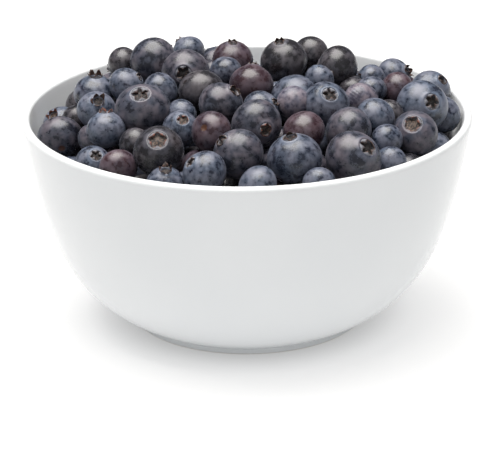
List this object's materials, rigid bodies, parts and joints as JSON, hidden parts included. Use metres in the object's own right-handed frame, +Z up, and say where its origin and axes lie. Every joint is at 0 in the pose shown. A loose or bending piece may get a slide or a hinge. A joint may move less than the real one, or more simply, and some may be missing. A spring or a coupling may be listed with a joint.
{
  "type": "bowl of blueberries",
  "caption": "Plain round white porcelain bowl on a low foot ring, heaped above its rim with fresh blueberries.",
  "frame": {"origin": "middle of the foot ring's underside, on the surface that the bowl stands on", "axes": "+Z is up, -Y is the front that the picture shows, +X is the right of the front"},
  "size_m": [0.15, 0.15, 0.0934],
  "materials": {
    "white_porcelain": "smooth glossy white glaze, with a bare ground edge under the foot ring",
    "blueberry_skin": "satin blue-black skin under a patchy pale waxy bloom"
  },
  "bodies": {
    "root": {"bowl": "white_porcelain", "blueberries": "blueberry_skin"}
  },
  "joints": []
}
